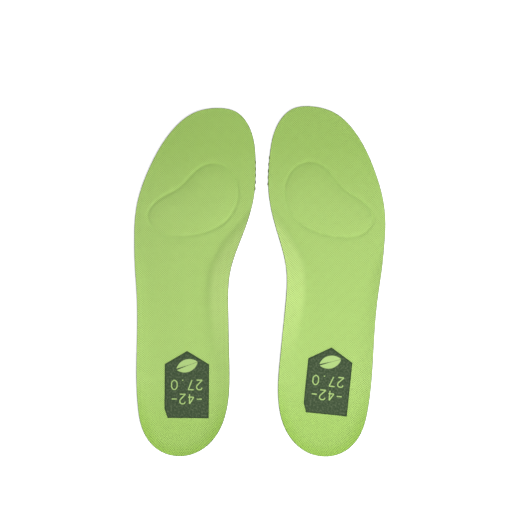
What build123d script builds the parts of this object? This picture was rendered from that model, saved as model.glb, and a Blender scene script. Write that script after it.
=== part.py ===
"""A pair of cushioned boot insoles: moulded footbeds with a soft layer, a cloth top and inset pads.

Each insole is drawn once, as the left one: the heel end is at the origin, +Y runs to the toes, +X to the
inner (big toe) side, and the underside lies on Z = 0. The right insole is its mirror image, apart from the
heel label, which reads the same way on both. Millimetres and degrees throughout.
"""

import os
from math import atan2, cos, degrees, radians, sin

from build123d import *

# Overall size, and the size that the outlines below were drawn at: other sizes are graded from it.
insole_length = 275.0
ball_width = 96.8
drawn_length = 275.0
drawn_width = 96.8

# Layers, counted up from the underside. The footbed is thicker under the heel than at the toes.
footbed_heel = 6.0
footbed_toe = 3.4
soft_layer = 1.6
cloth = 0.8

# Outer wall, and the flank that rises from the floor of the dish to the rim.
wall_flare = 8.0  # out from vertical
flank_slope = 27.0  # up from horizontal
rim_allowance = 19.0  # height of the block that the layers are cut from
underside_fillet = 1.6

# Pads.
forefoot_recess = 1.2  # how far the forefoot pad is let into the footbed
pad_clearance = 0.02  # under the cloth
arch_bed = 2.6  # footbed left under the arch pad
heel_pad_length = 58.0
heel_pad_width = 42.0
heel_pad_thickness = 3.2
heel_pad_end = 14.0  # from the heel end to the pad
heel_pad_inset = 0.3  # up from the underside

# Ribs that stand proud of the inner wall beside the ball of the foot.
rib_count = 5
rib_pitch = 5.2
rib_width = 2.6
rib_proud = 0.8
rib_first = 211.0  # along the insole, to the first rib
rib_base = 0.8
rib_height = 3.4

# Heel label and its raised print. The label's straight end is the one nearer the heel.
label_width = 35.0
label_side = 42.5
label_roof = 10.4
label_nick_width = 2.6
label_nick_height = 7.2
label_thickness = 0.3
label_across = {"left": 3.0, "right": 1.9}  # the two labels do not lie quite alike
label_from_heel = {"left": 29.6, "right": 32.9}
label_turn = {"left": -0.4, "right": -1.4}
print_thickness = 0.15
leaf_length = 18.0
leaf_width = 10.0
leaf_turn = 20.0
leaf_vein = 1.3  # width of the bare vein where the stalk would be
leaf_vein_length = 12.0
leaf_below_peak = 11.6
digit_height = 7.6
digit_width = 4.4
digit_gap = 2.2
digit_stroke = 0.9
size_row = "-42-"
length_row = "27.0"
size_row_up = 15.0  # row centres, up from the label's straight end
length_row_up = 26.2

# Flex line across the ball of the foot, and how the two insoles lie.
flex_inner = (57.0, 200.0)
flex_outer = (-38.0, 176.0)
flex_gap = 0.5
heel_spacing = 107.6
right_turn = -4.5

# Outlines at the drawn size. The dish floor runs outside the sole where the insole has no raised rim.
sole_points = [
    (-4, 2), (-18, 6.5), (-28.3, 18), (-33.8, 40), (-34.8, 80), (-34.9, 125), (-37.6, 165), (-35.6, 199),
    (-26.3, 226.4), (-8.4, 256.3), (8.4, 270.2), (26, 274.1), (42.6, 270.7), (52.8, 257.5), (56.9, 230),
    (55, 202), (44.2, 170), (35.8, 145), (34.2, 115), (35.2, 75), (33.8, 40), (25.5, 17.5), (10.5, 4.6),
]  # fmt: skip
floor_points = [
    (-3, 12.5), (-16, 17), (-24.3, 30), (-27.6, 60), (-28.4, 100), (-29.5, 130), (-33.5, 155), (-41, 175),
    (-41, 205), (-28, 236), (-10, 262), (8, 276), (27, 280), (47, 276), (60, 258), (64, 225), (60.5, 204),
    (48.5, 189), (34, 172), (22.5, 153), (18, 128), (20, 100), (24, 72), (25.3, 45), (21, 26), (10, 15),
]  # fmt: skip
forefoot_points = [
    (24.5, 230.8), (37.5, 224.5), (43.5, 206), (36, 187.6), (18, 176.5), (-4, 173.4), (-21, 177.5),
    (-27.8, 189), (-19, 202.6), (-4, 211), (6, 221), (14.5, 228.2),
]  # fmt: skip
arch_points = [(22, 78), (18.5, 105), (18.5, 130), (24, 152), (33, 167), (38, 170), (33, 148), (29.5, 122), (29.5, 95)]

# Pen strokes of the printed marks, each in a box one wide and one high.
strokes = {
    "0": [[(0.3, 0), (0, 0.3), (0, 0.7), (0.3, 1), (0.7, 1), (1, 0.7), (1, 0.3), (0.7, 0), (0.3, 0)]],
    "2": [[(0, 0.75), (0.25, 1), (0.75, 1), (1, 0.75), (1, 0.55), (0, 0), (1, 0)]],
    "4": [[(0.75, 0), (0.75, 1), (0, 0.3), (1, 0.3)]],
    "7": [[(0, 1), (1, 1), (0.35, 0)]],
    ".": [[(0.45, 0), (0.55, 0)]],
    "-": [[(0, 0.5), (1, 0.5)]],
}  # fmt: skip

grade_x = ball_width / drawn_width
grade_y = insole_length / drawn_length
heel_drop = degrees(atan2(footbed_heel - footbed_toe, insole_length))
cloth_top = soft_layer + cloth  # above the footbed's floor


def graded(points):
    """The points of an outline at the size being made."""
    return [(x * grade_x, y * grade_y) for x, y in points]


def floor_plane(rise=0.0):
    """The plane of the dish floor, raised by so much. It slopes down towards the toes."""
    return Plane(
        origin=(0, 0, footbed_heel + rise),
        x_dir=(1, 0, 0),
        z_dir=(0, sin(radians(heel_drop)), cos(radians(heel_drop))),
    )


def flex_plane(ahead=0.0):
    """The upright plane across the flex line, so far towards the toes. Its normal points to the toes."""
    inner, outer = (Vector(*point) for point in graded([flex_inner, flex_outer]))
    across = (inner - outer).normalized()
    forward = Vector(0, 0, 1).cross(across)
    return Plane(origin=(inner + outer) / 2 + forward * ahead, x_dir=across, z_dir=forward)


def label_plane(side, rise):
    """The plane of a heel label, raised by so much above the cloth, with its origin at the label's straight end."""
    base = floor_plane(cloth_top + rise)
    return Plane(base * Location((label_across[side], label_from_heel[side], 0), (0, 0, label_turn[side])))


def column(plane, points, height, taper=0.0):
    """A column on a smooth closed outline."""
    with BuildPart() as made:
        with BuildSketch(plane):
            with BuildLine():
                Spline(*graded(points), periodic=True)
            make_face()
        extrude(amount=height, taper=taper)
    return made.part


def dish(rise):
    """All that lies above the dish floor and its flanks, raised by so much: it shapes the top of each layer."""
    return column(floor_plane(rise), floor_points, rim_allowance, flank_slope - 90)


def heel_pad_disc(height):
    """The heel pad's oval, standing on the ground plane of its pocket."""
    with BuildPart() as disc:
        with BuildSketch(Plane.XY):
            with Locations((0, heel_pad_end + heel_pad_length / 2)):
                Ellipse(heel_pad_width / 2, heel_pad_length / 2)
        extrude(amount=height)
    return disc.part


def make_footbed(block, arch_column, forefoot_column):
    """The moulded footbed, with pockets for the three pads and the ribs on its inner wall."""
    with BuildPart() as footbed:
        add(block)
        sole_edge = footbed.faces().sort_by(Axis.Z)[0].edges()
        fillet(sole_edge, underside_fillet)
        add(rib_blades(block))
        add(dish(0), mode=Mode.SUBTRACT)
        add(arch_column, mode=Mode.SUBTRACT)
        add(forefoot_column, mode=Mode.SUBTRACT)
        add(heel_pad_disc(heel_pad_inset + heel_pad_thickness), mode=Mode.SUBTRACT)
    return footbed.part


def rib_blades(block):
    """Short upright ribs on the inner wall: slices of the block, moved outwards."""
    middle = rib_first * grade_y + rib_pitch * (rib_count - 1) / 2
    with BuildPart() as blades:
        with Locations((ball_width / 2, middle, rib_base + rib_height / 2)):
            with GridLocations(0, rib_pitch, 1, rib_count):
                Box(ball_width / 4, rib_width, rib_height)
        add(block.moved(Location((rib_proud, 0, 0))), mode=Mode.INTERSECT)
    return blades.part


def make_layer(block, bottom, top, pad_column):
    """One sheet of the block between two heights above the footbed's floor, less any pad let into it."""
    with BuildPart() as layer:
        add(block)
        add(dish(bottom), mode=Mode.INTERSECT)
        add(dish(top), mode=Mode.SUBTRACT)
        if pad_column:
            add(pad_column, mode=Mode.SUBTRACT)
    return layer.part


def make_arch_pad(arch_column):
    """The wedge under the inner arch, its top flush with the footbed's flank."""
    with BuildPart() as arch_pad:
        add(arch_column)
        add(dish(0), mode=Mode.SUBTRACT)
    return arch_pad.part


def make_heel_pad():
    """The shock pad in the underside of the heel, just clear of the ground."""
    with BuildPart() as heel_pad:
        with BuildSketch(Plane.XY.offset(heel_pad_inset)):
            with Locations((0, heel_pad_end + heel_pad_length / 2)):
                Ellipse(heel_pad_width / 2, heel_pad_length / 2)
        extrude(amount=heel_pad_thickness)
    return heel_pad.part


def make_label(side):
    """The house-shaped heel label, with one cut corner. It lies on the cloth, and up its flank where it is wide."""
    half = label_width / 2
    with BuildPart() as label:
        with BuildSketch(label_plane(side, 0)):
            Polygon(
                (label_nick_width - half, 0),
                (half, 0),
                (half, label_side),
                (0, label_side + label_roof),
                (-half, label_side),
                (-half, label_nick_height),
                align=None,
            )
        extrude(amount=rim_allowance)
        add(dish(cloth_top), mode=Mode.INTERSECT)
        add(dish(cloth_top + label_thickness), mode=Mode.SUBTRACT)
    return label.part


def make_leaf_mark(side):
    """A plain leaf printed under the label's peak, with a bare vein that narrows towards its tip."""
    tip = leaf_length / 2
    belly = leaf_width / 2
    with BuildSketch() as leaf:
        with BuildLine():
            ThreePointArc((-tip, 0), (0, belly), (tip, 0))
            ThreePointArc((tip, 0), (0, -belly), (-tip, 0))
        make_face()
        Polygon(
            (-tip, -leaf_vein / 2),
            (leaf_vein_length - tip, 0),
            (-tip, leaf_vein / 2),
            align=None,
            mode=Mode.SUBTRACT,
        )
    with BuildPart() as leaf_mark:
        with BuildSketch(label_plane(side, label_thickness)):
            with Locations(Location((0, label_side + label_roof - leaf_below_peak, 0), (0, 0, leaf_turn))):
                add(leaf.sketch)
        extrude(amount=print_thickness)
    return leaf_mark.part


def make_size_marks(side):
    """Two rows of printed size marks, drawn with a round pen and upright when read from the toes."""
    with BuildPart() as size_marks:
        with BuildSketch(label_plane(side, label_thickness)):
            for row, row_up in ((size_row, size_row_up), (length_row, length_row_up)):
                pitch = digit_width + digit_gap
                for place, mark in enumerate(row):
                    left = (place - (len(row) - 1) / 2) * pitch - digit_width / 2
                    for stroke in strokes[mark]:
                        pen = [(-(left + u * digit_width), row_up - (v - 0.5) * digit_height) for u, v in stroke]
                        for start, end in zip(pen, pen[1:]):
                            draw_pen_line(Vector(*start), Vector(*end))
        extrude(amount=print_thickness)
    return size_marks.part


def draw_pen_line(start, end):
    """Adds one round-ended pen line to the sketch that is open."""
    line = end - start
    with Locations((start + end) / 2):
        SlotCenterToCenter(line.length, digit_stroke, rotation=degrees(atan2(line.Y, line.X)))


def cut_at_flex(piece):
    """A sheet's rear and front parts, with a narrow gap between them on the flex line."""
    with BuildPart() as rear:
        add(piece)
        split(bisect_by=flex_plane(-flex_gap / 2), keep=Keep.BOTTOM)
    with BuildPart() as front:
        add(piece)
        split(bisect_by=flex_plane(flex_gap / 2), keep=Keep.TOP)
    return {"rear": rear.part, "front": front.part}


def make_insole():
    """Every piece of the left insole apart from its label and print, by name."""
    block = column(Plane.XY, sole_points, rim_allowance, -wall_flare)
    arch_column = column(Plane.XY.offset(arch_bed), arch_points, rim_allowance)
    pad_plane = floor_plane(-forefoot_recess)
    forefoot_column = column(pad_plane, forefoot_points, forefoot_recess + soft_layer - pad_clearance)
    sheets = {
        "footbed": make_footbed(block, arch_column, forefoot_column),
        "soft_layer": make_layer(block, 0, soft_layer, forefoot_column),
        "top_cloth": make_layer(block, soft_layer, cloth_top, None),
        "forefoot_pad": forefoot_column,
    }
    made = {"arch_pad": make_arch_pad(arch_column), "heel_pad": make_heel_pad()}
    for name, sheet in sheets.items():
        for end, piece in cut_at_flex(sheet).items():
            made[f"{name}_{end}"] = piece
    return made


def make_pair():
    """Both insoles as they lie side by side, with the left one's heel end still at the origin."""
    left = make_insole()
    right_place = Location((heel_spacing, 0, 0), (0, 0, right_turn))
    pair = {}
    for name, piece in left.items():
        with BuildPart() as mirrored:
            mirror(piece, about=Plane.YZ)
        pair[f"left_{name}"] = piece
        pair[f"right_{name}"] = mirrored.part.moved(right_place)
    for name, make in (("heel_label", make_label), ("leaf_mark", make_leaf_mark), ("size_marks", make_size_marks)):
        pair[f"left_{name}"] = make("left")
        pair[f"right_{name}"] = make("right").moved(right_place)
    return pair


pair = make_pair()
box = Compound(children=[piece.moved(Location()) for piece in pair.values()]).bounding_box()
centring = Location((-box.center().X, -box.center().Y, -box.min.Z))

os.makedirs("parts", exist_ok=True)
for name, piece in pair.items():
    placed = piece.moved(centring)
    placed.label = name
    export_step(placed, f"parts/{name}.step")
print("overall size", box.size, "centring", centring.position)
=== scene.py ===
import math
import bpy
import numpy as np
from mathutils import Matrix, Vector


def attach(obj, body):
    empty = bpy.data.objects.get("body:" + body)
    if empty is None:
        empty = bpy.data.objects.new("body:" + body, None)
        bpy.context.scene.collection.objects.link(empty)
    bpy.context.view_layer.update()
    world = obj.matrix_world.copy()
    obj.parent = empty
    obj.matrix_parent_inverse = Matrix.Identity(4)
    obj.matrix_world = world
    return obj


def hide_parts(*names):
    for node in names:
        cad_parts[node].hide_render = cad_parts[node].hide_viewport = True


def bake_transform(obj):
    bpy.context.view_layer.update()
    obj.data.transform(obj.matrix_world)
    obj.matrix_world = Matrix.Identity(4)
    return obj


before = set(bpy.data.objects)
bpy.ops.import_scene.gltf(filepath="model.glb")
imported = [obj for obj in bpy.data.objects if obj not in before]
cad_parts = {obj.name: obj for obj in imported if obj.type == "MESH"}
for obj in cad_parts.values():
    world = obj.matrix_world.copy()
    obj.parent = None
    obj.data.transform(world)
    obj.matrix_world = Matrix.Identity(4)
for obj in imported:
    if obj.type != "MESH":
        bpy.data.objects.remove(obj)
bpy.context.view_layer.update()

mm = 0.001

# One insole is shaped as the left one, heel end at 0, 0 and toes to +Y, in millimetres.
# The right one is its mirror image.
insole = dict(
    length=275.0,
    footbedHeel=6.0,  # footbed thickness at the heel and at the toes
    footbedToe=3.4,
    softLayer=1.6,
    cloth=0.8,
    flankSlope=27.0,  # of the cup and arch, in degrees
    wallFlare=8.0,
    flareReach=12.0,  # how far in from the wall the flare is felt
    cupRound=3.2,  # how softly floor and flank meet, at the heel and along the arch's front
    archRound=0.9,
    roundFrom=95.0,  # along the insole, where the one gives way to the other, and over what length
    roundOver=60.0,
    crest=20.0,  # the flank eases off towards this height above the floor of the dish
    sole=[
        (-4, 2), (-18, 6.5), (-28.3, 18), (-33.8, 40), (-34.8, 80), (-34.9, 125), (-37.6, 165), (-35.6, 199),
        (-26.3, 226.4), (-8.4, 256.3), (8.4, 270.2), (26, 274.1), (42.6, 270.7), (52.8, 257.5), (56.9, 230),
        (55, 202), (44.2, 170), (35.8, 145), (34.2, 115), (35.2, 75), (33.8, 40), (25.5, 17.5), (10.5, 4.6),
    ],
    floor=[
        (-3, 12.5), (-16, 17), (-24.3, 30), (-27.6, 60), (-28.4, 100), (-29.5, 130), (-33.5, 155), (-41, 175),
        (-41, 205), (-28, 236), (-10, 262), (8, 276), (27, 280), (47, 276), (60, 258), (64, 225), (60.5, 204),
        (48.5, 189), (34, 172), (22.5, 153), (18, 128), (20, 100), (24, 72), (25.3, 45), (21, 26), (10, 15),
    ],
    pad=[
        (24.5, 230.8), (37.5, 224.5), (43.5, 206), (36, 187.6), (18, 176.5), (-4, 173.4), (-21, 177.5),
        (-27.8, 189), (-19, 202.6), (-4, 211), (6, 221), (14.5, 228.2),
    ],
)
lie = dict(left=(-60.82, -137.98, 0.0), right=(46.78, -137.98, -4.5))  # heel end x, y and turn of each insole
# toe bend line, and how far the bend spreads to each side of it
flex = dict(inner=(57.0, 200.0), outer=(-38.0, 176.0), reach=26.0)


def smoothLoop(points, samples=14):  # closed curve of even curvature through given points
    p = np.array(points, float)
    n = len(p)
    h = np.linalg.norm(np.roll(p, -1, 0) - p, axis=1)
    m, r = np.zeros((n, n)), np.zeros((n, 2))
    for i in range(n):
        j, k = (i - 1) % n, (i + 1) % n
        m[i, j] += h[j]
        m[i, i] += 2 * (h[j] + h[i])
        m[i, k] += h[i]
        r[i] = 6 * ((p[k] - p[i]) / h[i] - (p[i] - p[j]) / h[j])
    c = np.linalg.solve(m, r)
    t = np.linspace(0, 1, samples, endpoint=False)[:, None]
    s = 1 - t
    spans = []
    for i in range(n):
        k = (i + 1) % n
        spans.append(s * p[i] + t * p[k] + h[i] ** 2 / 6 * ((s**3 - s) * c[i] + (t**3 - t) * c[k]))
    return np.concatenate(spans)


# signed distance, positive outside, with the nearest point on the loop and the outward direction
def fromLoop(points, loop):
    a, b = loop, np.roll(loop, -1, 0)
    ab = b - a
    distance = np.zeros(len(points))
    nearest, outward = np.zeros((len(points), 2)), np.zeros((len(points), 2))
    turning = np.sign(np.sum(a[:, 0] * b[:, 1] - b[:, 0] * a[:, 1]))
    for start in range(0, len(points), 4000):
        p = points[start : start + 4000, None, :]
        t = np.clip(((p - a) * ab).sum(2) / (ab * ab).sum(1), 0, 1)
        q = a + t[:, :, None] * ab
        away = np.linalg.norm(p - q, axis=2)
        best = away.argmin(1)
        row = np.arange(len(best))
        crosses = (a[:, 1] > p[:, :, 1]) != (b[:, 1] > p[:, :, 1])
        level = np.where(ab[:, 1] == 0, 1e-9, ab[:, 1])
        hits = crosses & (p[:, :, 0] < (p[:, :, 1] - a[:, 1]) * ab[:, 0] / level + a[:, 0])
        inside = hits.sum(1) % 2 == 1
        distance[start : start + 4000] = np.where(inside, -1, 1) * away[row, best]
        nearest[start : start + 4000] = q[row, best]
        edge = ab[best] / np.linalg.norm(ab[best], axis=1)[:, None]
        outward[start : start + 4000] = np.stack([edge[:, 1], -edge[:, 0]], 1) * turning
    return distance, nearest, outward


soleLoop, floorLoop, padLoop = (smoothLoop(insole[k]) for k in ("sole", "floor", "pad"))


def floorHeight(y):
    return insole["footbedHeel"] + (insole["footbedToe"] - insole["footbedHeel"]) * y / insole["length"]


# top of the footbed at each point: the floor of the dish, and the flank that rises to the rim
def cupHeight(p):
    d = fromLoop(p, floorLoop)[0]
    ahead = np.clip((p[:, 1] - insole["roundFrom"]) / insole["roundOver"], 0, 1)
    w = insole["cupRound"] + (insole["archRound"] - insole["cupRound"]) * ahead * ahead * (3 - 2 * ahead)
    flank = math.tan(math.radians(insole["flankSlope"])) * w * np.logaddexp(0, d / w)
    return floorHeight(p[:, 1]) + insole["crest"] * (1 - np.exp(-flank / insole["crest"]))


# forefoot pad as it shows in the cloth
relief = dict(crown=1.1, crownReach=7.0, weltDepth=0.95, weltWidth=1.25)


def padRelief(p):
    d = fromLoop(p, padLoop)[0]
    crown = relief["crown"] * (1 - np.exp(-((np.minimum(d, 0) / relief["crownReach"]) ** 2)))
    return crown - relief["weltDepth"] * np.exp(-((d / relief["weltWidth"]) ** 2))


def deselect():
    if bpy.context.object and bpy.context.object.mode != "OBJECT":
        bpy.ops.object.mode_set(mode="OBJECT")
    bpy.ops.object.select_all(action="DESELECT")


def pick(piece):
    deselect()
    piece.select_set(True)
    bpy.context.view_layer.objects.active = piece


# opens edit mode with only the chosen faces, edges or vertices selected
def editOnly(piece, chosen, kind="FACE"):
    pick(piece)
    bpy.ops.object.mode_set(mode="EDIT")
    bpy.ops.mesh.select_mode(type=kind)
    bpy.ops.mesh.select_all(action="DESELECT")
    bpy.ops.object.mode_set(mode="OBJECT")
    items = {"FACE": piece.data.polygons, "EDGE": piece.data.edges, "VERT": piece.data.vertices}[kind]
    items.foreach_set("select", np.array(chosen, bool))
    bpy.ops.object.mode_set(mode="EDIT")


def editAll(piece):
    pick(piece)
    bpy.ops.object.mode_set(mode="EDIT")
    bpy.ops.mesh.select_all(action="SELECT")


def pointOutwards(piece):
    editAll(piece)
    bpy.ops.mesh.normals_make_consistent(inside=False)
    bpy.ops.object.mode_set(mode="OBJECT")


def shadeSmooth(piece, angle):
    pick(piece)
    bpy.ops.object.shade_smooth_by_angle(angle=math.radians(angle))


def joinPieces(made):
    deselect()
    for piece in made:
        piece.select_set(True)
    bpy.context.view_layer.objects.active = made[0]
    bpy.ops.object.join()
    return made[0]


def places(piece):  # vertex places in millimetres
    co = np.zeros(len(piece.data.vertices) * 3)
    piece.data.vertices.foreach_get("co", co)
    return co.reshape(-1, 3) / mm


def setPlaces(piece, co):
    piece.data.vertices.foreach_set("co", (co * mm).ravel())
    piece.data.update()


def applyModifier(piece, kind, **settings):
    pick(piece)
    modifier = piece.modifiers.new(kind.lower(), kind)
    for key, value in settings.items():
        setattr(modifier, key, value)
    bpy.ops.object.modifier_apply(modifier=modifier.name)


def cutGrid(name, loop, pitch, hole=None):  # a flat grid trimmed to a loop, its rim snapped on to the loop
    low, high = loop.min(0) - pitch, loop.max(0) + pitch
    count = np.ceil((high - low) / pitch).astype(int)
    deselect()
    bpy.ops.mesh.primitive_grid_add(x_subdivisions=int(count[0]), y_subdivisions=int(count[1]), size=2)
    piece = bpy.context.object
    piece.name = name
    co = places(piece)
    co[:, :2] = (low + high) / 2 + co[:, :2] * mm * count * pitch / 2
    co[:, 2] = 0
    away, nearest, _ = fromLoop(co[:, :2], loop)
    near = abs(away) < pitch * 0.5
    co[near, :2] = nearest[near]
    outside = (away > 0) & ~near
    if hole is not None:
        inner, nearest, _ = fromLoop(co[:, :2], hole)
        rim = abs(inner) < pitch * 0.5
        co[rim, :2] = nearest[rim]
        outside |= (inner < 0) & ~rim
    setPlaces(piece, co)
    editOnly(piece, outside, "VERT")
    bpy.ops.mesh.delete(type="VERT")
    bpy.ops.mesh.select_all(action="SELECT")
    bpy.ops.mesh.remove_doubles(threshold=0.02 * mm)
    snapRim(piece, loop, hole)
    return piece


def snapRim(piece, loop, hole):  # every point of the cut edge goes on to the loop, or on to the hole's edge
    bpy.ops.mesh.select_mode(type="VERT")
    bpy.ops.mesh.select_all(action="DESELECT")
    bpy.ops.mesh.select_non_manifold()
    bpy.ops.object.mode_set(mode="OBJECT")
    rim = np.array([v.select for v in piece.data.vertices])
    co = places(piece)
    away, nearest, _ = fromLoop(co[:, :2], loop)
    if hole is not None:
        inner, atHole, _ = fromLoop(co[:, :2], hole)
        nearest = np.where((abs(inner) < abs(away))[:, None], atHole, nearest)
    co[rim, :2] = nearest[rim]
    setPlaces(piece, co)
    editOnly(piece, [True] * len(piece.data.polygons))
    bpy.ops.mesh.remove_doubles(threshold=0.02 * mm)
    bpy.ops.mesh.dissolve_degenerate(threshold=0.01 * mm)
    bpy.ops.object.mode_set(mode="OBJECT")


def spreadToWall(base, height, inset=0.0):  # moves points out with the flared wall, and gives their heights
    away, _, outward = fromLoop(base, soleLoop)
    share = np.clip(1 + away / insole["flareReach"], 0, 1) ** 2
    flare = math.tan(math.radians(insole["wallFlare"]))
    p = base
    for _ in range(3):
        z = height(p)
        p = base + outward * (share * (z * flare - inset))[:, None]
    return p, height(p)


weaveUnit = 100  # millimetres to one unit of the weave's UV map


def keepWeave(piece, co):  # a UV map in the insole's own plane, for patterns that follow the cloth
    layer = piece.data.uv_layers.new(name="weave")
    loops = np.zeros(len(piece.data.loops), int)
    piece.data.loops.foreach_get("vertex_index", loops)
    layer.data.foreach_set("uv", (co[loops, :2] / weaveUnit).ravel())


# where painted shade and painted light go on the cloth: each change starts at a place and takes a reach, back
# where it is negative
paintedShadingZones = dict(
    rimReach=12.0,
    heel=(60.0, -35.0),
    toes=(195.0, 50.0),
    endShare=0.4,  # of the whole heel and toes, against 1 at the heel's rim
    archSide=(8.0, 8.0),
    archBack=(70.0, 50.0),
    archFront=(200.0, -12.0),
    archFlank=(1.5, 4.5),  # out from the edge of the floor
)


def paintedShadingZone(value, name):
    start, reach = paintedShadingZones[name]
    return np.clip((value - start) / reach, 0, 1)


def keepPaintedShading(piece, co):  # "edge" is painted shade that rises to the toes and to the heel's rim, "arch" is painted light up the inner flank
    x, y = co[:, 0], co[:, 1]
    away = fromLoop(co[:, :2], soleLoop)[0]
    aboveFloor = fromLoop(co[:, :2], floorLoop)[0]
    heel = paintedShadingZone(y, "heel")
    rim = np.clip(1 + away / paintedShadingZones["rimReach"], 0, 1) * heel
    edge = np.maximum.reduce([rim, paintedShadingZones["endShare"] * heel, paintedShadingZones["endShare"] * paintedShadingZone(y, "toes")])
    inner = paintedShadingZone(x, "archSide") * paintedShadingZone(y, "archBack") * paintedShadingZone(y, "archFront")
    for name, value in (("edge", edge), ("arch", paintedShadingZone(aboveFloor, "archFlank") * inner)):
        attribute = piece.data.attributes.new(name, "FLOAT", "POINT")
        attribute.data.foreach_set("value", value.astype(np.float32))


clothCut = dict(
    pitch=1.3,
    inset=0.45,  # the cloth stops just short of the wall
    creaseReach=5.0,  # smaller faces this near to the forefoot pad's edge, and to the arch's front
    archSide=12.0, archBack=125.0, archFront=200.0,
)
softCut = dict(pitch=2.2, clear=0.04)
sheetAngle = 40  # degrees, over which an edge stays sharp


def refineCreases(piece):
    co = places(piece)
    reach = clothCut["creaseReach"]
    alongArch = (co[:, 1] > clothCut["archBack"]) & (co[:, 1] < clothCut["archFront"])
    close = abs(fromLoop(co[:, :2], padLoop)[0]) < reach
    close |= alongArch & (co[:, 0] > clothCut["archSide"]) & (abs(fromLoop(co[:, :2], floorLoop)[0]) < reach)
    editOnly(piece, [all(close[v] for v in face.vertices) for face in piece.data.polygons])
    bpy.ops.mesh.subdivide(number_cuts=1)
    bpy.ops.object.mode_set(mode="OBJECT")


def makeSheet(name, pitch, rise, thickness, inset=0.0, creases=False, hole=None, bottomRelief=0.0):
    piece = cutGrid(name, soleLoop, pitch, hole)
    if creases:
        refineCreases(piece)
    editAll(piece)
    bpy.ops.mesh.normals_make_consistent(inside=False)
    bpy.ops.mesh.extrude_region_move(TRANSFORM_OT_translate={"value": (0, 0, mm)})
    bpy.ops.object.mode_set(mode="OBJECT")
    co = places(piece)
    upper = co[:, 2] > 0.5
    keepWeave(piece, co)
    keepPaintedShading(piece, co)
    p, z = spreadToWall(co[:, :2], lambda q: cupHeight(q) + rise + thickness, inset)
    swell = padRelief(p)
    co[:, :2] = p
    co[:, 2] = np.where(upper, z + swell, z - thickness + bottomRelief * swell)
    setPlaces(piece, co)
    pointOutwards(piece)
    shadeSmooth(piece, sheetAngle)
    return piece


topCloth = makeSheet("left_top_cloth", clothCut["pitch"], insole["softLayer"], insole["cloth"],
                     clothCut["inset"], creases=True, bottomRelief=1.0)
print("top cloth cut:", len(topCloth.data.polygons), "faces")

softLayer = makeSheet("left_soft_layer", softCut["pitch"], 0.0, insole["softLayer"] - softCut["clear"],
                      hole=padLoop)
print("soft layer cut:", len(softLayer.data.polygons), "faces")

footbedCut = dict(
    pitch=3.0,
    wall=[0, 0.25, 0.8, 1.7],  # heights of the wall's lower edge loops, and how far in each one lies
    wallInset=[1.6, 0.75, 0.2, 0],
    waffleInset=0.45,
    waffleDepth=0.6,
    waffleEdge=5.0,  # plain band inside the wall, and round the heel pad
    waist=(125.0, 34.0),  # middle and half length of the smooth stretch of the underside
    ribCount=5, ribPitch=5.2, ribFirst=211.0, ribWidth=2.6, ribProud=0.8, ribBase=0.8, ribHeight=2.7,
    ribBevel=0.5, ribRoot=4.0,  # how far a rib runs back into the footbed
    pocketDeep=1.2,  # forefoot pad's pocket
    pocketTop=12.0,  # well above the footbed there
    sharp=35,
)
heelPad = dict(
    length=58.0, width=42.0, thick=3.2, end=14.0, lift=0.3,
    gap=0.25, headroom=0.1,  # round it and over it in its pocket
    band=2.2, ringCount=3, ringSlope=0.6, ringDeep=1.1, ringFlat=1.6,  # grooves in rings underneath
    bevel=0.3, sharp=50,
)


def thicken(piece, low, high):  # a flat mesh made a thin closed one between two heights
    co = places(piece)
    co[:, 2] = low
    setPlaces(piece, co)
    editAll(piece)
    bpy.ops.mesh.extrude_region_move(TRANSFORM_OT_translate={"value": (0, 0, (high - low) * mm)})
    bpy.ops.mesh.select_all(action="SELECT")
    bpy.ops.mesh.normals_make_consistent(inside=False)
    bpy.ops.object.mode_set(mode="OBJECT")


def prism(name, loop, low, high):  # a closed loop made solid between two heights
    deselect()
    bpy.ops.mesh.primitive_circle_add(vertices=len(loop), radius=1, fill_type="NGON")
    piece = bpy.context.object
    piece.name = name
    setPlaces(piece, np.column_stack([loop, np.full(len(loop), low)]))
    thicken(piece, low, high)
    return piece


def ovalLoop(grow=0.0, count=96):  # outline of the heel pad
    a = np.linspace(0, 2 * math.pi, count, endpoint=False)
    across, along = heelPad["width"] / 2 + grow, heelPad["length"] / 2 + grow
    middle = heelPad["end"] + heelPad["length"] / 2
    return np.column_stack([across * np.cos(a), middle + along * np.sin(a)])


def joinBoolean(piece, other, operation):
    applyModifier(piece, "BOOLEAN", object=other, operation=operation, solver="EXACT")
    bpy.data.objects.remove(other)


def makeRibs():  # short upright ribs on the inner wall, run into the footbed
    made = []
    for i in range(footbedCut["ribCount"]):
        y = footbedCut["ribFirst"] + footbedCut["ribPitch"] * i
        rim = soleLoop[(abs(soleLoop[:, 1] - y) + 1000 * (soleLoop[:, 0] < 0)).argmin()]
        flare = math.tan(math.radians(insole["wallFlare"])) * footbedCut["ribHeight"] / 2
        deselect()
        bpy.ops.mesh.primitive_cube_add(size=2)
        rib = bpy.context.object
        co = places(rib) * mm
        high = co[:, 2] > 0
        outer = rim[0] + footbedCut["ribProud"] + np.where(high, 2 * flare, flare)
        across = np.where(co[:, 0] > 0, outer, rim[0] - footbedCut["ribRoot"])
        along = y + co[:, 1] * footbedCut["ribWidth"] / 2
        up = footbedCut["ribBase"] + (co[:, 2] + 1) / 2 * footbedCut["ribHeight"]
        setPlaces(rib, np.column_stack([across, along, up]))
        editOnly(rib, [True] * len(rib.data.edges), "EDGE")
        bpy.ops.mesh.bevel(offset=footbedCut["ribBevel"] * mm, segments=3, affect="EDGES")
        bpy.ops.object.mode_set(mode="OBJECT")
        made.append(rib)
    return joinPieces(made)


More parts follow.
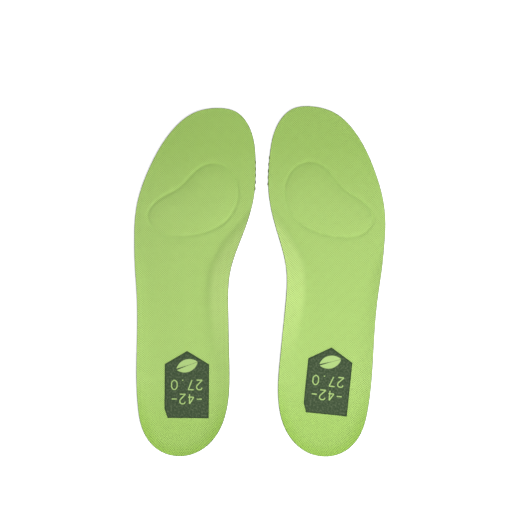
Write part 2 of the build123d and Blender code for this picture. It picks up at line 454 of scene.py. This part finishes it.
def makeFootbed():
    piece = cutGrid("left_footbed", soleLoop, footbedCut["pitch"])
    editAll(piece)
    bpy.ops.mesh.extrude_region_move(TRANSFORM_OT_translate={"value": (0, 0, mm)})
    bpy.ops.object.mode_set(mode="OBJECT")
    co = places(piece)
    steps = len(footbedCut["wall"])
    upright = [abs(co[e.vertices[0], 2] - co[e.vertices[1], 2]) > 0.5 for e in piece.data.edges]
    editOnly(piece, upright, "EDGE")
    bpy.ops.mesh.subdivide(number_cuts=steps)
    bpy.ops.object.mode_set(mode="OBJECT")
    co = places(piece)
    loopAt = np.round(co[:, 2] * (steps + 1)).astype(int)  # 0 is the underside, the highest number the top
    top = loopAt == steps + 1
    raised, zTop = spreadToWall(co[:, :2], cupHeight)
    away, _, outward = fromLoop(co[:, :2], soleLoop)
    share = np.clip(1 + away / insole["flareReach"], 0, 1) ** 2
    flare = math.tan(math.radians(insole["wallFlare"]))
    low = np.interp(loopAt, range(steps), footbedCut["wall"])
    inset = np.interp(loopAt, range(steps), footbedCut["wallInset"])
    z = np.where(loopAt == steps, (footbedCut["wall"][-1] + zTop) / 2, low)
    shaped = co[:, :2] + outward * (share * (z * flare - np.where(loopAt < steps, inset, 0)))[:, None]
    co[:, :2] = np.where(top[:, None], raised, shaped)
    co[:, 2] = np.where(top, zTop, z)
    setPlaces(piece, co)
    pointOutwards(piece)
    middles = np.array([f.center[:] for f in piece.data.polygons]) / mm
    edge = footbedCut["waffleEdge"]
    across = middles[:, 0] / (heelPad["width"] / 2 + edge)
    along = (middles[:, 1] - heelPad["end"] - heelPad["length"] / 2) / (heelPad["length"] / 2 + edge)
    waistAt, waistReach = footbedCut["waist"]
    waffle = (middles[:, 2] < 0.01) & (np.hypot(across, along) > 1)
    waffle &= abs(middles[:, 1] - waistAt) > waistReach
    waffle &= fromLoop(middles[:, :2], soleLoop)[0] < -edge
    editOnly(piece, waffle)
    bpy.ops.mesh.inset(thickness=footbedCut["waffleInset"] * mm, depth=-footbedCut["waffleDepth"] * mm,
                       use_individual=True)
    bpy.ops.object.mode_set(mode="OBJECT")
    joinBoolean(piece, makeRibs(), "UNION")
    y = padLoop[:, 1].mean()
    pocket = cutGrid("pocket", padLoop, footbedCut["pitch"])  # a grid, so that its floor can bend
    thicken(pocket, floorHeight(y) - footbedCut["pocketDeep"], footbedCut["pocketTop"])
    joinBoolean(piece, pocket, "DIFFERENCE")
    ceiling = heelPad["lift"] + heelPad["thick"] + heelPad["headroom"]
    heelPocket = prism("pocket", ovalLoop(heelPad["gap"]), -1, ceiling)
    joinBoolean(piece, heelPocket, "DIFFERENCE")
    shadeSmooth(piece, footbedCut["sharp"])
    keepWeave(piece, places(piece))
    return piece


footbed = makeFootbed()
print("footbed moulded:", len(footbed.data.polygons), "faces")


def makeHeelPad():  # oval gel pad with a rolled rim and raised rings underneath
    piece = prism("left_heel_gel", ovalLoop(), heelPad["lift"], heelPad["lift"] + heelPad["thick"])
    under = [f.normal.z < -0.9 for f in piece.data.polygons]
    editOnly(piece, under)
    bpy.ops.mesh.inset(thickness=heelPad["band"] * mm, depth=0)
    for _ in range(heelPad["ringCount"]):
        for depth in (-heelPad["ringDeep"], heelPad["ringDeep"]):
            bpy.ops.mesh.inset(thickness=heelPad["ringSlope"] * mm, depth=depth * mm)
            bpy.ops.mesh.inset(thickness=heelPad["ringFlat"] * mm, depth=0)
    bpy.ops.object.mode_set(mode="OBJECT")
    applyModifier(piece, "BEVEL", width=heelPad["bevel"] * mm, segments=2, limit_method="ANGLE",
                  angle_limit=math.radians(30))
    shadeSmooth(piece, heelPad["sharp"])
    return piece


heelGel = makeHeelPad()
print("heel pad made:", len(heelGel.data.polygons), "faces")

padMake = dict(voxel=1.5, shrink=0.8, sink=0.3, clear=0.06, pressure=4.0, frames=20, cap=1.0, sharp=60)


def swellPad(piece):  # fills the pad by cloth pressure, then holds each point within the cap
    rest = places(piece)
    cloth = piece.modifiers.new("cloth", "CLOTH")
    cloth.settings.use_pressure = True
    cloth.settings.uniform_pressure_force = padMake["pressure"]
    cloth.settings.effector_weights.gravity = 0
    cloth.point_cache.frame_start, cloth.point_cache.frame_end = 1, padMake["frames"]
    for step in range(1, padMake["frames"] + 1):
        bpy.context.scene.frame_set(step)
    pick(piece)
    bpy.ops.object.modifier_apply(modifier="cloth")
    bpy.context.scene.frame_set(1)
    moved = places(piece) - rest
    length = np.linalg.norm(moved, axis=1)
    setPlaces(piece, rest + moved * np.minimum(1, padMake["cap"] / np.maximum(length, 1e-6))[:, None])


def makeForefootPad():  # soft kidney-shaped pad in its pocket under the cloth
    loop = padLoop
    middle = loop.mean(0)
    inward = fromLoop(loop, loop)[2]
    slim = loop - inward * padMake["shrink"]
    low = floorHeight(middle[1]) - footbedCut["pocketDeep"] + padMake["clear"]
    high = low + footbedCut["pocketDeep"] + insole["softLayer"] - padMake["sink"]
    piece = prism("left_forefoot_pad", slim, low, high)
    applyModifier(piece, "REMESH", mode="VOXEL", voxel_size=padMake["voxel"] * mm)
    swellPad(piece)
    applyModifier(piece, "SUBSURF", levels=1, render_levels=1)
    co = places(piece)
    away, _, outward = fromLoop(co[:, :2], loop)
    over = np.maximum(away + padMake["clear"], 0)
    co[:, :2] -= outward * over[:, None]
    ceiling = cupHeight(co[:, :2]) + insole["softLayer"] + padRelief(co[:, :2]) - padMake["clear"]
    co[:, 2] = np.clip(co[:, 2], low, np.maximum(ceiling, low + 0.5))
    setPlaces(piece, co)
    shadeSmooth(piece, padMake["sharp"])
    return piece


forefootPad = makeForefootPad()
print("forefoot pad filled:", len(forefootPad.data.polygons), "faces")


def place(piece, side):  # lays a finished left piece in its place, or its mirror image in the right one's
    x, y, turn = lie[side]
    flip = Matrix.Diagonal((-1 if side == "right" else 1, 1, 1, 1))
    turned = Matrix.Rotation(math.radians(turn), 4, "Z")
    piece.data.transform(Matrix.Translation((x * mm, y * mm, 0)) @ turned @ flip)
    if side == "right":
        editAll(piece)
        bpy.ops.mesh.flip_normals()
        bpy.ops.object.mode_set(mode="OBJECT")
    piece.data.update()
    return piece


def pairPoint(x, y, z, side):  # a left-insole point, in metres in the pair's frame
    ox, oy, turn = lie[side]
    c, s = math.cos(math.radians(turn)), math.sin(math.radians(turn))
    x = -x if side == "right" else x
    return Vector(((ox + c * x - s * y) * mm, (oy + s * x + c * y) * mm, z * mm))


def copyOf(piece, name):
    other = piece.copy()
    other.data = piece.data.copy()
    other.name = name
    bpy.context.scene.collection.objects.link(other)
    return other


def bendWith(piece, side):
    inner, outer = Vector(flex["inner"]), Vector(flex["outer"])
    middle, along = (inner + outer) / 2, (inner - outer).normalized()
    ahead = Vector((-along.y, along.x)) * flex["reach"]
    start = pairPoint(middle.x - ahead.x, middle.y - ahead.y, 7, side)
    end = pairPoint(middle.x + ahead.x, middle.y + ahead.y, 7, side)
    side + "_rear"
    side + "_front"
    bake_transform(piece)


pairs = {}
for left, slot, nodes in (
    (topCloth, "lime_knit", ("top_cloth_rear", "top_cloth_front")),
    (softLayer, "soft_foam", ("soft_layer_rear", "soft_layer_front")),
    (footbed, "footbed_foam", ("footbed_rear", "footbed_front")),
    (forefootPad, "pad_foam", ("forefoot_pad_rear", "forefoot_pad_front")),
    (heelGel, "heel_gel", ("heel_pad",)),
):
    right = copyOf(left, left.name.replace("left_", "right_"))
    for side, piece in (("left", left), ("right", right)):
        place(piece, side)
        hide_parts(*(f"{side}_{n}" for n in nodes))
        if len(nodes) == 2:
            bendWith(piece, side)
        else:
            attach(piece, side + "_rear")
        pairs[piece.name] = piece
print("pieces laid in place:", len(pairs))

label = dict(
    width=35.0, side=42.5, roof=10.4, nickWidth=2.6, nickHeight=7.2, thick=0.3,
    across=dict(left=3.0, right=1.9), fromHeel=dict(left=29.6, right=32.9), turn=dict(left=-0.4, right=-1.4),
    faces=(26, 38), lift=0.02, hem=1.6, sharp=40,
)
printed = dict(
    leafLength=18.0, leafWidth=10.0, leafTurn=20.0, leafBelowPeak=11.6, raised=0.16, sunk=0.05,
    vein=1.3, veinLength=12.0, hairline=0.24,  # the bare vein narrows to a hairline
    digitHeight=7.6, digitWidth=4.4, digitGap=2.2, pen=0.45, sharp=50,
    rows=(("-42-", 15.0), ("27.0", 26.2)),  # European size, and foot length in centimetres
    straight={
        "4": [[(0.75, 0), (0.75, 1), (0, 0.3), (1, 0.3)]],
        "7": [[(0, 1), (1, 1), (0.35, 0)]],
        "2": [[(0.95, 0.58), (0, 0), (1, 0)]],
        ".": [[(0.4, 0.02), (0.6, 0.02)]],
        "-": [[(0.05, 0.5), (0.95, 0.5)]],
    },
    curved={
        "0": [[(0.5, 0), (0.06, 0.22), (0, 0.5), (0.06, 0.78), (0.5, 1), (0.94, 0.78), (1, 0.5), (0.94, 0.22),
               (0.5, 0)]],
        "2": [[(0.02, 0.78), (0.2, 0.96), (0.5, 1), (0.85, 0.93), (1, 0.76), (0.95, 0.58)]],
    },
)


def layOnCloth(piece, side):  # from the label's own flat plane on to the cloth; z counts up from the cloth
    co = places(piece)
    a = math.radians(label["turn"][side])
    x = label["across"][side] + co[:, 0] * math.cos(a) - co[:, 1] * math.sin(a)
    y = label["fromHeel"][side] + co[:, 0] * math.sin(a) + co[:, 1] * math.cos(a)
    under = np.column_stack([-x if side == "right" else x, y])
    z = cupHeight(under) + insole["softLayer"] + insole["cloth"] + co[:, 2]
    setPlaces(piece, np.column_stack([x, y, z]))
    ox, oy, turn = lie[side]
    turned = Matrix.Rotation(math.radians(turn), 4, "Z")
    piece.data.transform(Matrix.Translation((ox * mm, oy * mm, 0)) @ turned)
    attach(piece, side + "_rear")


def makeLabel(side):
    deselect()
    across, along = label["faces"]
    bpy.ops.mesh.primitive_grid_add(x_subdivisions=across, y_subdivisions=along, size=2)
    piece = bpy.context.object
    piece.name = side + "_woven_label"
    co = places(piece) * mm
    u, v = co[:, 0], (co[:, 1] + 1) / 2
    half = label["width"] / 2
    y = v * (label["side"] + label["roof"] * (1 - abs(u)))
    left = -half + label["nickWidth"] * np.clip(1 - y / label["nickHeight"], 0, 1)
    x = left + (u + 1) / 2 * (half - left)
    setPlaces(piece, np.column_stack([x, y, 0 * x]))
    thicken(piece, label["lift"], label["thick"])
    co = places(piece)
    keepWeave(piece, co)
    peak = label["side"] + label["roof"]
    corners = [(label["nickWidth"] - half, 0), (half, 0), (half, label["side"]), (0, peak),
               (-half, label["side"]), (-half, label["nickHeight"])]
    away = -fromLoop(co[:, :2], np.array(corners, float))[0]
    hem = piece.data.attributes.new("hem", "FLOAT", "POINT")
    hem.data.foreach_set("value", np.clip(1 - away / label["hem"], 0, 1).astype(np.float32))
    layOnCloth(piece, side)
    shadeSmooth(piece, label["sharp"])
    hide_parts(side + "_heel_label")
    return piece


def makeLeaf(side):  # plain leaf in two halves, parted by its vein
    tip, belly = printed["leafLength"] / 2, printed["leafWidth"] / 2
    radius = (tip**2 + belly**2) / (2 * belly)
    middle = label["side"] + label["roof"] - printed["leafBelowPeak"]
    c, s = math.cos(math.radians(printed["leafTurn"])), math.sin(math.radians(printed["leafTurn"]))
    halves = []
    for way in (1, -1):
        deselect()
        bpy.ops.mesh.primitive_grid_add(x_subdivisions=36, y_subdivisions=8, size=2)
        half = bpy.context.object
        co = places(half) * mm
        x = np.interp(co[:, 0], (-1, 1), (printed["vein"] / 2 - tip, tip - 0.3))
        low = np.maximum(printed["hairline"], printed["vein"] * (1 - (x + tip) / printed["veinLength"])) / 2
        edge = np.maximum(np.sqrt(radius**2 - x**2) - (radius - belly), low + 0.03)
        y = way * (low + (co[:, 1] + 1) / 2 * (edge - low))
        setPlaces(half, np.column_stack([c * x - s * y, middle + s * x + c * y, 0 * x]))
        thicken(half, label["thick"] - printed["sunk"], label["thick"] + printed["raised"])
        halves.append(half)
    piece = joinPieces(halves)
    piece.name = side + "_leaf_print"
    editAll(piece)
    bpy.ops.mesh.remove_doubles(threshold=0.01 * mm)
    bpy.ops.mesh.normals_make_consistent(inside=False)
    bpy.ops.object.mode_set(mode="OBJECT")
    keepWeave(piece, places(piece))
    layOnCloth(piece, side)
    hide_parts(side + "_leaf_mark")
    return piece


def makeMarks(side):  # two rows of size numbers in a thin round pen, read from the toes
    curve = bpy.data.curves.new(side + "_size_print", "CURVE")
    curve.dimensions = "3D"
    curve.bevel_depth, curve.bevel_resolution, curve.use_fill_caps = printed["pen"] * mm, 2, True
    curve.resolution_u = 6
    pitch = printed["digitWidth"] + printed["digitGap"]
    for row, up in printed["rows"]:
        for spot, mark in enumerate(row):
            start = (spot - (len(row) - 1) / 2) * pitch - printed["digitWidth"] / 2
            lines = [pair for stroke in printed["straight"].get(mark, []) for pair in zip(stroke, stroke[1:])]
            for handles, strokes in (("VECTOR", lines), ("AUTO", printed["curved"].get(mark, []))):
                for stroke in strokes:
                    spline = curve.splines.new("BEZIER")
                    spline.bezier_points.add(len(stroke) - 1)
                    for point, (u, v) in zip(spline.bezier_points, stroke):
                        x, y = -(start + u * printed["digitWidth"]), up - (v - 0.5) * printed["digitHeight"]
                        point.co = (x * mm, y * mm, 0)
                        point.handle_left_type = point.handle_right_type = handles
    piece = bpy.data.objects.new(side + "_size_print", curve)
    bpy.context.scene.collection.objects.link(piece)
    pick(piece)
    bpy.ops.object.convert(target="MESH")
    piece = bpy.context.object
    co = places(piece)
    co[:, 2] = label["thick"] + co[:, 2] * printed["raised"] / printed["pen"]
    setPlaces(piece, co)
    editOnly(piece, [True] * len(piece.data.polygons))
    bpy.ops.mesh.remove_doubles(threshold=0.002 * mm)
    bpy.ops.mesh.normals_make_consistent(inside=False)
    bpy.ops.object.mode_set(mode="OBJECT")
    keepWeave(piece, places(piece))
    layOnCloth(piece, side)
    shadeSmooth(piece, printed["sharp"])
    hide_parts(side + "_size_marks")
    return piece


labels, leaves, marks = {}, {}, {}
for side in ("left", "right"):
    labels[side], leaves[side], marks[side] = makeLabel(side), makeLeaf(side), makeMarks(side)
print("labels and print made")


class Signal:  # one shader socket, so that patterns can be written as sums and products
    def __init__(self, tree, socket):
        self.tree, self.socket = tree, socket

    def math(self, operation, other=None, first=None):
        node = self.tree.nodes.new("ShaderNodeMath")
        node.operation = operation
        values = (self, other) if first is None else (first, self)
        for socket, value in zip(node.inputs, values):
            if isinstance(value, Signal):
                self.tree.links.new(value.socket, socket)
            elif value is not None:
                socket.default_value = value
        return Signal(self.tree, node.outputs[0])

    def __add__(self, other):
        return self.math("ADD", other)

    def __sub__(self, other):
        return self.math("SUBTRACT", other)

    def __mul__(self, other):
        return self.math("MULTIPLY", other)

    def __truediv__(self, other):
        return self.math("DIVIDE", other)

    def __rsub__(self, other):
        return self.math("SUBTRACT", first=other)

    def __pow__(self, other):
        return self.math("POWER", other)

    __radd__ = __add__
    __rmul__ = __mul__

    def cosine(self):
        return self.math("COSINE")

    def sine(self):
        return self.math("SINE")


class Finish:  # one material; node() adds any shader node from its type, settings and socket values
    def __init__(self, name):
        self.material = bpy.data.materials.new(name)
        self.material.use_nodes = True
        self.tree = self.material.node_tree
        self.tree.nodes.clear()

    def node(self, kind, settings=None, sockets=None, output=0):
        node = self.tree.nodes.new("ShaderNode" + kind)
        for key, value in (settings or {}).items():
            if key == "stops":
                ramp = node.color_ramp
                while len(ramp.elements) < len(value):
                    ramp.elements.new(0.5)
                for element, (at, colour) in zip(ramp.elements, value):
                    element.position, element.color = at, colour
            else:
                setattr(node, key, value)
        for key, value in (sockets or {}).items():
            if isinstance(value, Signal):
                self.tree.links.new(value.socket, node.inputs[key])
            else:
                node.inputs[key].default_value = value
        return Signal(self.tree, node.outputs[output])

    def split(self, vector):
        node = self.node("SeparateXYZ", sockets={0: vector})
        outputs = node.socket.node.outputs
        return Signal(self.tree, outputs[0]), Signal(self.tree, outputs[1])

    def smooth(self, value, low, high):  # 0 below low, 1 above high
        return self.node("MapRange", {"interpolation_type": "SMOOTHSTEP"}, {0: value, 1: low, 2: high})

    def mix(self, share, first, second):  # two colours
        return self.node("Mix", {"data_type": "RGBA"}, {0: share, 6: first, 7: second}, output=2)

    def noise(self, vector, scale, detail=2.0):
        return self.node("TexNoise", None, {"Vector": vector, "Scale": scale, "Detail": detail})

    def surface(self, colour, roughness, height=None, distance=0.0003, **fixed):
        sockets = {"Base Color": colour, "Roughness": roughness}
        if height is not None:
            bump = {"Height": height, "Distance": distance, "Strength": 1.0}
            sockets["Normal"] = self.node("Bump", None, bump)
        sockets.update({key.replace("_", " "): value for key, value in fixed.items()})
        shader = self.node("BsdfPrincipled", None, sockets)
        out = self.tree.nodes.new("ShaderNodeOutputMaterial")
        self.tree.links.new(shader.socket, out.inputs[0])
        return self.material


knit = dict(
    pitch=1.7,  # between holes, in mm
    yarn=(0.48, 0.72, 0.195, 1),
    yarnPaintedShade=(0.33, 0.59, 0.075, 1),  # painted shade, darker towards the heel's rim and the toes
    yarnPaintedLight=(0.62, 0.86, 0.27, 1),  # painted light up the arch's inner flank
    hole=(0.19, 0.33, 0.065, 1),
    patch=(0.50, 0.74, 0.22, 1),  # faint lighter patches
    fuzz=900.0, patches=14.0,  # grain of the fuzz and the patches
    depth=0.00035,
)


def makeKnit():
    f = Finish("limeKnit")
    weave = f.node("UVMap", {"uv_map": "weave"})
    u, v = f.split(weave)
    turn = 2 * math.pi * weaveUnit / knit["pitch"]
    lattice = (u * turn).cosine() * (v * turn).cosine()  # peaks at staggered holes
    holes = f.smooth(lattice, 0.15, 0.9)
    wales = (u * (turn * 2)).cosine() * 0.5 + 0.5
    fuzz = f.noise(weave, knit["fuzz"], 3.0)
    patches = f.noise(weave, knit["patches"], 2.0)
    edge = f.node("Attribute", {"attribute_name": "edge"}, output=2)
    arch = f.node("Attribute", {"attribute_name": "arch"}, output=2)
    # painted shade at the heel's rim and the toes, then painted light up the arch's inner flank
    paintedShadingYarn = f.mix(edge, knit["yarn"], knit["yarnPaintedShade"])
    paintedShadingYarn = f.mix(arch * 0.85, paintedShadingYarn, knit["yarnPaintedLight"])
    shade = f.mix(holes * 0.95 + fuzz * 0.12, paintedShadingYarn, knit["hole"])
    colour = f.mix(patches * 0.18, shade, knit["patch"])
    height = 1.0 - holes + wales * 0.22 + fuzz * 0.3
    return f.surface(colour, 0.82 + fuzz * 0.12, height, knit["depth"],
                     Sheen_Weight=0.25, Sheen_Roughness=0.5, Specular_IOR_Level=0.25)


foams = dict(
    footbedFoam=dict(light=(0.030, 0.033, 0.033, 1), dark=(0.012, 0.014, 0.014, 1), grain=1500.0),
    softFoam=dict(light=(0.050, 0.054, 0.052, 1), dark=(0.022, 0.025, 0.024, 1), grain=1100.0),
    padFoam=dict(light=(0.30, 0.48, 0.14, 1), dark=(0.18, 0.32, 0.07, 1), grain=900.0),
)
foamFinish = dict(rough=0.85, depth=0.00012)


def makeFoam(name):
    foam = foams[name]
    f = Finish(name)
    point = f.node("TexCoord", output=3)
    pores = f.node("TexVoronoi", None, {"Vector": point, "Scale": foam["grain"]})
    cloud = f.noise(point, 60.0, 3.0)
    grit = f.noise(point, foam["grain"] * 0.8, 2.0)
    shade = f.mix(f.smooth(pores, 0.1, 0.5) * 0.6 + cloud * 0.4, foam["dark"], foam["light"])
    return f.surface(shade, foamFinish["rough"] - 0.15 + cloud * 0.2, pores + grit * 0.5, foamFinish["depth"],
                     Specular_IOR_Level=0.3)


woven = dict(
    ground=(0.033, 0.064, 0.024, 1),
    thread=(0.098, 0.142, 0.070, 1),
    hem=(0.022, 0.052, 0.014, 1),
    pitch=0.62,  # between threads, in mm
    speck=70.0,
    depth=0.00012,
)


def makeWoven():
    f = Finish("wovenLabel")
    weave = f.node("UVMap", {"uv_map": "weave"})
    u, v = f.split(weave)
    turn = 2 * math.pi * weaveUnit / woven["pitch"]
    warp, weft = (u * turn).cosine(), (v * (turn * 0.5)).cosine()
    twill = ((u + v) * (turn * 0.5)).sine() * 0.5 + 0.5
    fuzz = f.noise(weave, 700.0, 3.0)
    thread = f.smooth(warp * weft, -0.2, 0.9)
    speck = f.smooth(f.noise(weave, woven["speck"], 3.0), 0.42, 0.66)
    colour = f.mix(thread * 0.2 + speck * 0.75, woven["ground"], woven["thread"])
    hem = f.node("Attribute", {"attribute_name": "hem"}, output=2)
    colour = f.mix(f.smooth(hem, 0.15, 0.7) * 0.75, colour, woven["hem"])
    return f.surface(colour, 0.7 + fuzz * 0.2, thread + twill * 0.3 + fuzz * 0.4, woven["depth"],
                     Sheen_Weight=0.15, Specular_IOR_Level=0.3)


ink = dict(fresh=(0.42, 0.62, 0.20, 1), worn=(0.26, 0.40, 0.12, 1), wear=160.0, depth=0.00006)


def makePrint():
    f = Finish("limePrint")
    weave = f.node("UVMap", {"uv_map": "weave"})
    u, v = f.split(weave)
    turn = 2 * math.pi * weaveUnit / woven["pitch"]
    thread = (u * turn).cosine() * (v * (turn * 0.5)).cosine() * 0.5 + 0.5
    worn = f.smooth(f.noise(weave, ink["wear"], 3.0), 0.42, 0.7)
    colour = f.mix(thread * 0.25 + worn * 0.3, ink["fresh"], ink["worn"])
    return f.surface(colour, 0.6 + worn * 0.2, thread, ink["depth"], Specular_IOR_Level=0.35)


gel = dict(dark=(0.20, 0.42, 0.05, 1), light=(0.31, 0.56, 0.10, 1), cloud=45.0, grain=1200.0, depth=0.00003)


def makeGel():
    f = Finish("heelGel")
    point = f.node("TexCoord", output=3)
    cloud = f.noise(point, gel["cloud"], 3.0)
    grain = f.noise(point, gel["grain"], 2.0)
    colour = f.mix(cloud, gel["dark"], gel["light"])
    return f.surface(colour, 0.32 + grain * 0.15, grain, gel["depth"], Subsurface_Weight=0.1)


limeKnit, wovenCloth, limePrint, heelGelFinish = makeKnit(), makeWoven(), makePrint(), makeGel()
footbedFoam, softFoam, padFoam = (makeFoam(name) for name in ("footbedFoam", "softFoam", "padFoam"))


def dress(piece, material):
    piece.data.materials.clear()
    piece.data.materials.append(material)


for side in ("left", "right"):
    dress(pairs[side + "_top_cloth"], limeKnit)
    dress(pairs[side + "_soft_layer"], softFoam)
    dress(pairs[side + "_footbed"], footbedFoam)
    dress(pairs[side + "_forefoot_pad"], padFoam)
    dress(pairs[side + "_heel_gel"], heelGelFinish)
    dress(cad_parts[side + "_arch_pad"], padFoam)
    dress(labels[side], wovenCloth)
    dress(leaves[side], limePrint)
    dress(marks[side], limePrint)
print("finishes made")

fills = dict(_soft_layer=1.0, _footbed=1.0, _forefoot_pad=0.8, _heel_gel=1.0)
for side in ("left", "right"):
    cloth = pairs[side + "_top_cloth"]
    soft = pairs[side + "_soft_layer"]
    for name, fill in fills.items():
        pairs[side + name]

studio = dict(
    centre=(0.0013, 0.0152), above=0.983, lens=85.0,
    key=dict(at=(0.14, -0.16, 0.58), size=0.45, power=3.9),
    top=dict(at=(0.0, 0.05, 1.7), size=1.8, power=2.0),
    sky=0.2,
    floor=((0.90, 0.90, 0.90, 1), (0.92, 0.92, 0.92, 1)),
    glow=0.7,  # of the lit floor
)


def makeStudio():
    deselect()
    bpy.ops.mesh.primitive_plane_add(size=6)
    floor = bpy.context.object
    floor.name = "floor"
    f = Finish("paleFloor")
    point = f.node("TexCoord", output=3)
    pale = f.mix(f.noise(point, 3.0), *studio["floor"])
    dress(floor, f.surface(pale, 0.9, Emission_Color=(1, 1, 1, 1), Emission_Strength=studio["glow"]))
    for name in ("key", "top"):
        bpy.ops.object.light_add(type="AREA", location=studio[name]["at"])
        light = bpy.context.object
        light.name = name
        light.data.shape = "DISK"
        light.data.size, light.data.energy = studio[name]["size"], studio[name]["power"]
        light.rotation_euler = (Vector((0, 0, 0)) - light.location).to_track_quat("-Z", "Y").to_euler()
    world = bpy.data.worlds.new("sky")
    world.use_nodes = True
    background = world.node_tree.nodes["Background"]
    background.inputs[0].default_value = (1, 1, 1, 1)
    background.inputs[1].default_value = studio["sky"]
    bpy.context.scene.world = world
    bpy.ops.object.camera_add(location=(*studio["centre"], studio["above"]), rotation=(0, 0, 0))
    camera = bpy.context.object
    camera.data.lens, camera.data.sensor_width = studio["lens"], 36.0
    bpy.context.scene.camera = camera
    bpy.context.scene.view_settings.view_transform = "Standard"


makeStudio()
print("floor, lights and camera placed")
